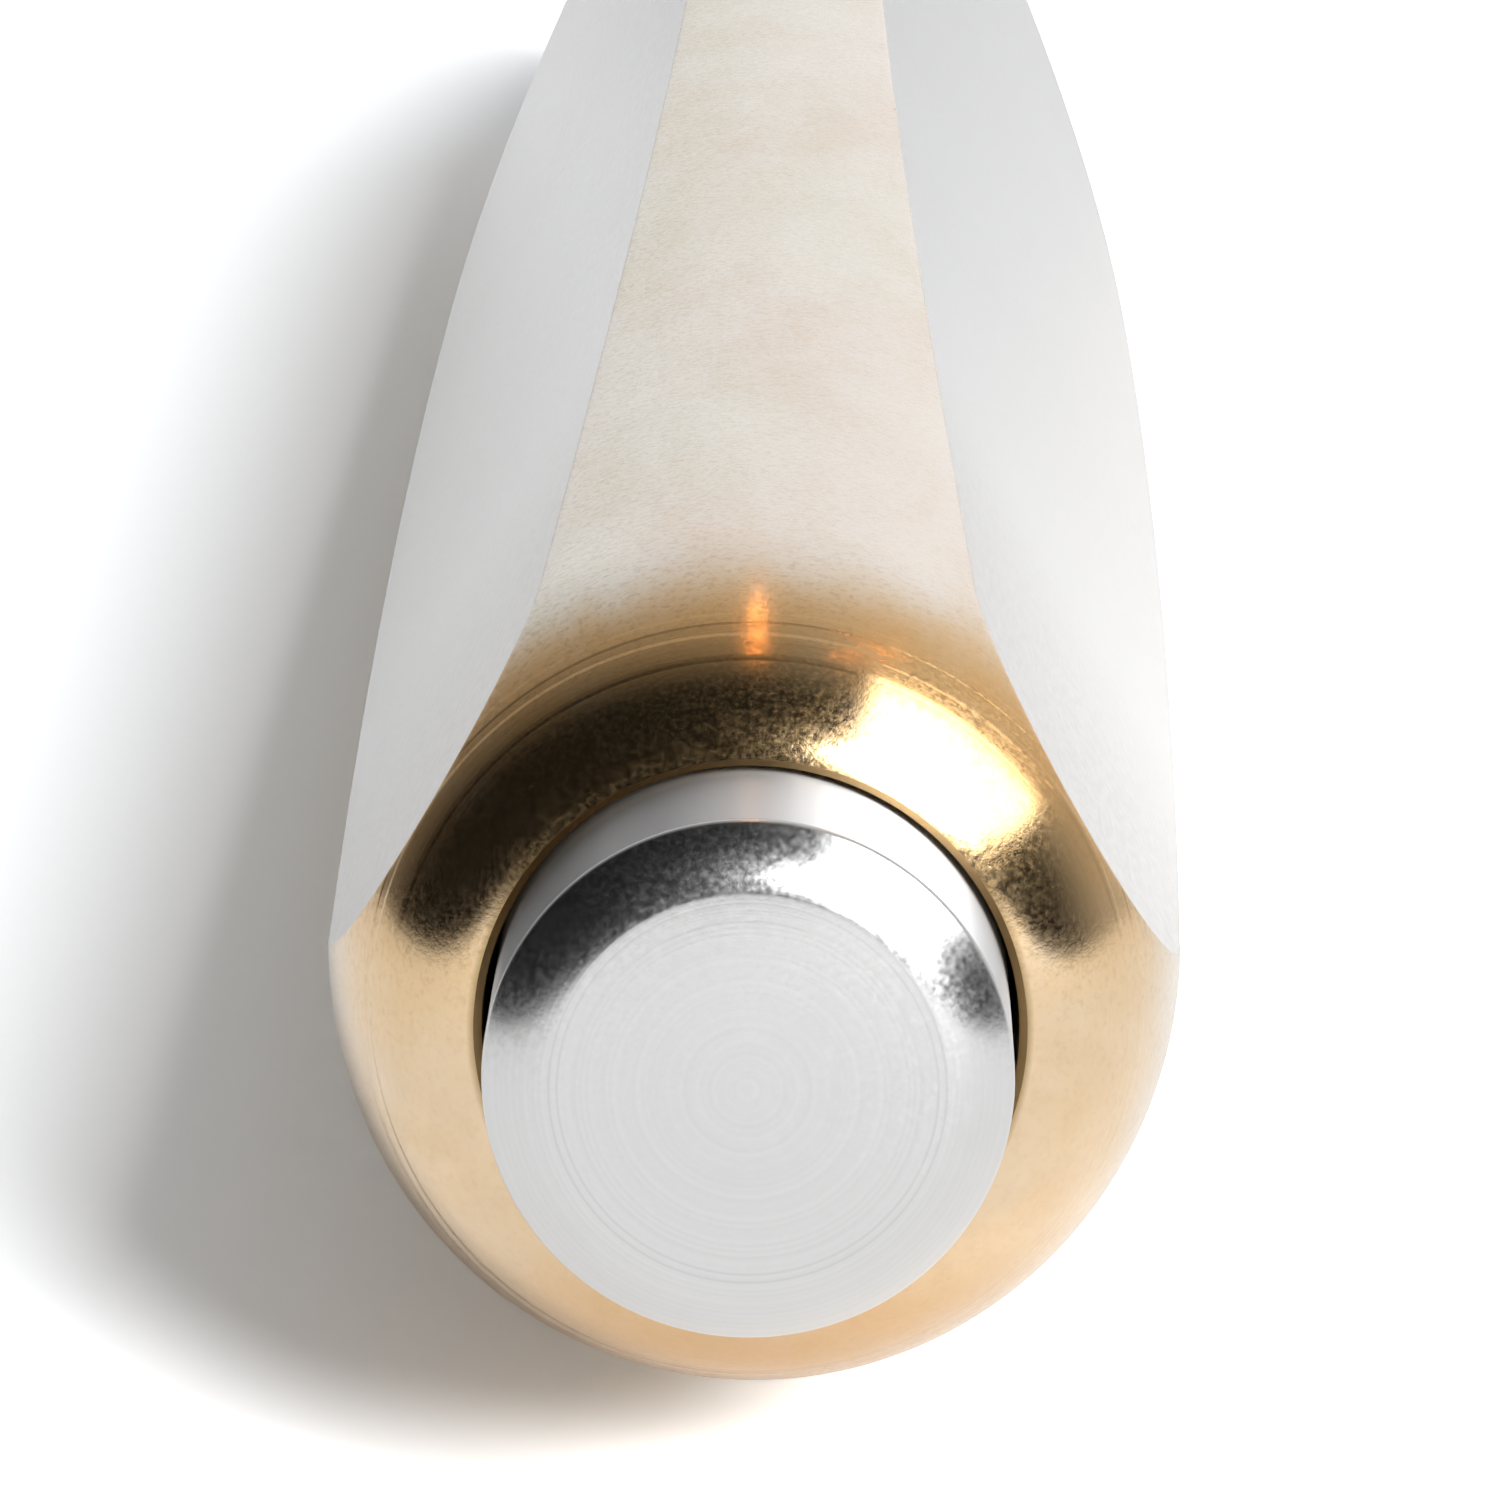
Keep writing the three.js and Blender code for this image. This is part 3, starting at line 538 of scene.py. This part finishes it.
def button_profile():
    """The button's corners, and the place where its edge ends and its wall starts."""
    slope_width = BUTTON_RADIUS - EDGE_ROUND * (1 - math.sin(EDGE_TILT)) - BUTTON_FACE_RADIUS
    corners = [(0, 0), (BUTTON_FACE_RADIUS, 0)]
    depth = 0.0
    for i in range(EDGE_STEPS):
        tilt = FACE_TILT + (EDGE_TILT - FACE_TILT) * (i + 0.5) / EDGE_STEPS
        depth += slope_width / EDGE_STEPS * math.tan(tilt)
        corners.append((BUTTON_FACE_RADIUS + slope_width * (i + 1) / EDGE_STEPS, depth))
    for i in range(1, ROUND_STEPS + 1):
        tilt = EDGE_TILT + (math.pi / 2 - EDGE_TILT) * i / ROUND_STEPS
        corners.append((
            BUTTON_RADIUS - EDGE_ROUND * (1 - math.sin(tilt)),
            depth + EDGE_ROUND * (math.cos(EDGE_TILT) - math.cos(tilt))))
    wall_at = corners[-1][1]
    inner = BUTTON_RADIUS - BUTTON_WALL
    corners += [
        (BUTTON_RADIUS, BUTTON_LENGTH), (inner, BUTTON_LENGTH), (inner, BUTTON_SOLID),
        (STEM_SOCKET_RADIUS, BUTTON_SOLID), (STEM_SOCKET_RADIUS, STEM_SOCKET_DEPTH), (0, STEM_SOCKET_DEPTH),
    ]
    return corners, wall_at


button_corners, button_wall_at = button_profile()
button = spun(button_corners, TURNED_STEPS)
for face in button.faces:
    face.material_index = int(face.calc_center_median().y > button_wall_at)
finish_piece(
    "button_shell", button, "button", [chrome, chrome_wall], "push_button", crease=22)

# Nose cone, with a thread round its tenon


def nose_profile():
    """Tenon with the thread's root, the cone, the round nozzle, and the stepped bore."""
    drop = JOINT_RADIUS - NOZZLE_RADIUS
    length = NOZZLE_AT - NOSE_AT
    rim_at = NOZZLE_AT - NOZZLE_ROUND
    tenon = [
        (THREAD_ROOT, TENON_AT), (THREAD_ROOT, NOSE_AT - RUNOUT_START),
        (TENON_RADIUS, NOSE_AT - RUNOUT_END), (TENON_RADIUS, NOSE_AT),
        (JOINT_RADIUS - NOSE_CHAMFER, NOSE_AT), (JOINT_RADIUS, NOSE_AT + NOSE_CHAMFER),
    ]
    cone = bezier(
        (JOINT_RADIUS, NOSE_AT), (JOINT_RADIUS - 0.24 * drop, NOSE_AT + 0.4 * length),
        (NOZZLE_RADIUS + 0.42 * drop, NOZZLE_AT - 0.2 * length), (NOZZLE_RADIUS, rim_at), 28)
    rim = arc((NOZZLE_RADIUS - NOZZLE_ROUND, rim_at), NOZZLE_ROUND, NOZZLE_ROUND, math.pi / 2, 0, 6)[1:]
    return tenon + cone + rim + [
        (NOZZLE_HOLE, NOZZLE_AT), (NOZZLE_HOLE, SHANK_BORE_END), (SHANK_BORE, SHANK_BORE_END),
        (SHANK_BORE, SPRING_SEAT_AT), (SPRING_CHAMBER, SPRING_SEAT_AT), (SPRING_CHAMBER, SPRING_CHAMBER_AT),
        (TENON_BORE, SPRING_CHAMBER_AT), (TENON_BORE, TENON_AT),
    ]


nose = spun(nose_profile(), TURNED_STEPS)
tooth_middle = TENON_AT + THREAD_START + THREAD_HALF_WIDTH
tooth = [
    (THREAD_ROOT - THREAD_SUNK, tooth_middle - THREAD_HALF_WIDTH), (TENON_RADIUS, tooth_middle),
    (THREAD_ROOT - THREAD_SUNK, tooth_middle + THREAD_HALF_WIDTH),
]
coil(nose, tooth, [(THREAD_TURNS, THREAD_PITCH, THREAD_STEPS)])
finish_piece("cone_shell", nose, "nose", [brass_turned], "nose_cone")

# Seal, refill and point

seal_bead = bead((SEAL_CENTRE, JOINT_AT - SEAL_REBATE_DEPTH / 2), SEAL_BEAD, 20)
finish_piece("seal_ring", spun(seal_bead, SEAL_STEPS), "seal", [rubber], "nose_seal")

refill_tube = [
    (REFILL_INSIDE, REFILL_TUBE_AT), (REFILL_RADIUS, REFILL_TUBE_AT),
    (REFILL_RADIUS, SHOULDER_AT - SHOULDER_CHAMFER), (REFILL_RADIUS - SHOULDER_CHAMFER, SHOULDER_AT),
    (REFILL_LIP_HOLE, SHOULDER_AT), (REFILL_LIP_HOLE, REFILL_LIP_AT), (REFILL_INSIDE, REFILL_LIP_AT),
]
finish_piece("refill_body", spun(refill_tube, SMALL_STEPS), "refill", [steel], "refill_tube")

coupling = [
    (INK_CHANNEL, COUPLING_AT), (COUPLING_RADIUS, COUPLING_AT), (COUPLING_RADIUS, COUPLING_END),
    (NECK_RADIUS, COUPLING_END), (NECK_RADIUS, NECK_END), (SHANK_RADIUS, NECK_END), (SHANK_RADIUS, SHANK_END),
    (POINT_SOCKET_RADIUS, SHANK_END), (POINT_SOCKET_RADIUS, POINT_SOCKET_AT), (INK_CHANNEL, POINT_SOCKET_AT),
]
finish_piece(
    "refill_neck", spun(coupling, SMALL_STEPS), "refill", [inner_brass], "refill_coupling")

point = [
    (INK_CHANNEL, SPIGOT_AT), (SPIGOT_RADIUS, SPIGOT_AT), (SPIGOT_RADIUS, SHANK_END),
    (POINT_RADIUS, SHANK_END), *POINT_CONE, *BALL_SOCKET, (INK_CHANNEL, BALL_SOCKET[-1][1]),
]
finish_piece("point_tip", spun(point, SMALL_STEPS), "refill", [steel], "writing_point")

ball = bmesh.new()
bmesh.ops.create_uvsphere(ball, u_segments=48, v_segments=24, radius=BALL_RADIUS)
bmesh.ops.translate(ball, verts=ball.verts, vec=(0, TIP_AT - BALL_RADIUS, 0))
finish_piece("ball_tip", ball, "refill", [carbide], "writing_ball")

# Spring: closed end curls, and open ones between the nose's seat and the refill

spring = bmesh.new()
open_curls = SPRING_CURLS - 2
end_curl = (1, END_CURL, COIL_STEPS)
open_stretch = (open_curls, (SPRING_LENGTH - 2 * END_CURL) / open_curls, COIL_STEPS)
coil(spring, bead((SPRING_RADIUS, SPRING_AT), SPRING_WIRE, 14), [end_curl, open_stretch, end_curl])
spring_coil = finish_piece("spring_coil", spring, None, [steel], "refill_spring")
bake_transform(spring_coil)

# Table

table_mesh = bpy.data.meshes.new("table")
table_bm = bmesh.new()
bmesh.ops.create_grid(table_bm, x_segments=1, y_segments=1, size=6)
table_bm.to_mesh(table_mesh)
table_bm.free()
table = bpy.data.objects.new("table", table_mesh)
bpy.context.scene.collection.objects.link(table)
paper = bpy.data.materials.new("table_top")
paper.use_nodes = True
paper.node_tree.nodes.remove(paper.node_tree.nodes["Principled BSDF"])
seen = add(paper, "ShaderNodeLightPath").outputs["Is Camera Ray"]
mirrored = add(paper, "ShaderNodeLightPath").outputs["Is Glossy Ray"]
paper_tone = mix(paper, mirrored, (0.95, 0.95, 0.95, 1), (1.07, 1.07, 1.07, 1))
paper_tone = mix(paper, seen, paper_tone, (1.97, 2.00, 2.04, 1))
matt = add(paper, "ShaderNodeBsdfDiffuse", [("Color", paper_tone)])
link(paper, matt.outputs[0], paper.node_tree.nodes["Material Output"].inputs["Surface"])
table_mesh.materials.append(paper)

# Studio: a pale backdrop behind the far end fades towards the dark room, and is plain white to the camera

BACKDROP_AZIMUTH, BACKDROP_ELEVATION, BACKDROP_FADE = math.radians(15), math.radians(10), 1.8
DARK_ROOM, BACKDROP_LEVEL = 0.01, 0.95


def direction(azimuth, elevation):
    """Unit vector, with the azimuth measured from the pen's far end towards the right."""
    level = math.cos(elevation)
    return Vector((math.sin(azimuth) * level, math.cos(azimuth) * level, math.sin(elevation)))


world = bpy.data.worlds.new("studio")
bpy.context.scene.world = world
world.use_nodes = True
background = world.node_tree.nodes["Background"]
looked_at = add(world, "ShaderNodeTexCoord").outputs["Generated"]
towards = add(world, "ShaderNodeVectorMath", [
    (0, looked_at), (1, direction(BACKDROP_AZIMUTH, BACKDROP_ELEVATION)),
], operation="DOT_PRODUCT").outputs["Value"]
fade = joined(world, "POWER", joined(world, "MAXIMUM", towards, 0.0), BACKDROP_FADE)
level = spread(world, fade, 0.0, 1.0, DARK_ROOM, BACKDROP_LEVEL)
camera_ray = add(world, "ShaderNodeLightPath").outputs["Is Camera Ray"]
shown = add(world, "ShaderNodeMix", [(0, camera_ray), (2, level), (3, 1.0)], data_type="FLOAT").outputs[0]
background.inputs["Color"].default_value = (1, 1, 1, 1)
link(world, shown, background.inputs["Strength"])


def new_lamp(name, radiance, area, **settings):
    """An area lamp that the camera doesn't see, with the same radiance whatever its size."""
    data = bpy.data.lights.new(name, "AREA")
    for key, value in settings.items():
        setattr(data, key, value)
    data.energy = radiance * math.pi * area
    lamp = bpy.data.objects.new(name, data)
    lamp.visible_camera = False
    bpy.context.scene.collection.objects.link(lamp)
    return lamp


def aim_at_pen(lamp, place):
    """Puts a lamp in its place, facing the pen's middle."""
    lamp.location = place
    lamp.rotation_euler = lamp.location.to_track_quat("Z", "Y").to_euler()


# A long softbox on the right, parallel to the pen, whose glare lies on the dome and the button's edge

SOFTBOX_LENGTH, SOFTBOX_WIDTH = 2.65, 0.71
softbox_centre = Vector((0.68, -1.125, 0.73))
softbox = new_lamp(
    "softbox", 3.9, SOFTBOX_LENGTH * SOFTBOX_WIDTH,
    shape="RECTANGLE", size=SOFTBOX_LENGTH, size_y=SOFTBOX_WIDTH)
softbox.visible_diffuse = False
along_pen = Vector((0, 1, 0))
facing = Vector((softbox_centre.x, 0, softbox_centre.z)).normalized()
turned = Matrix((along_pen, facing.cross(along_pen), facing)).transposed().to_4x4()
softbox.matrix_world = Matrix.Translation(softbox_centre) @ turned

# The key lamp, a round reflector low on the front right, throws the shadow

KEY_WIDTH, KEY_AWAY, KEY_AZIMUTH, KEY_ELEVATION = 0.42, 1.2, math.radians(156), math.radians(24)
key = new_lamp("key", 49.0, math.pi * (KEY_WIDTH / 2) ** 2, shape="DISK", size=KEY_WIDTH)
aim_at_pen(key, KEY_AWAY * direction(KEY_AZIMUTH, KEY_ELEVATION))

# A wide lamp overhead, which no metal mirrors, lifts the shadow a little

OVERHEAD_WIDTH = 3.0
overhead = new_lamp("overhead", 0.09, OVERHEAD_WIDTH ** 2, size=OVERHEAD_WIDTH)
overhead.location = (0, 0, 1.6)
overhead.visible_glossy = False

# Two narrow warm tubes behind the pen, which draw the fine streaks across the turned shoulder

TUBE_WIDTH, TUBE_COLOUR = 0.0025, (1.0, 0.46, 0.14)
for lamp_name, azimuth, elevation, length, radiance in (
        ("tube_middle", -0.5, 65, 0.55, 34.0), ("tube_right", 41, 60, 0.30, 26.0)):
    tube = new_lamp(
        lamp_name, radiance, TUBE_WIDTH * length,
        shape="RECTANGLE", size=TUBE_WIDTH, size_y=length, color=TUBE_COLOUR)
    aim_at_pen(tube, direction(math.radians(azimuth), math.radians(elevation)))
    tube.visible_diffuse = False

# Camera: a long lens a hand's breadth from the button, looking slightly down the pen

camera_data = bpy.data.cameras.new("camera")
camera_data.sensor_width = 36.0
camera_data.lens = 219.6
camera_data.clip_start = 0.01
camera_data.clip_end = 20.0
camera = bpy.data.objects.new("camera", camera_data)
camera.location = (0.00095856, -0.1751996, 0.0334777)
camera.rotation_euler = (1.36492833, -0.00892427, 0.01090116)
bpy.context.scene.collection.objects.link(camera)
bpy.context.scene.camera = camera
bpy.context.scene.view_settings.view_transform = "Standard"
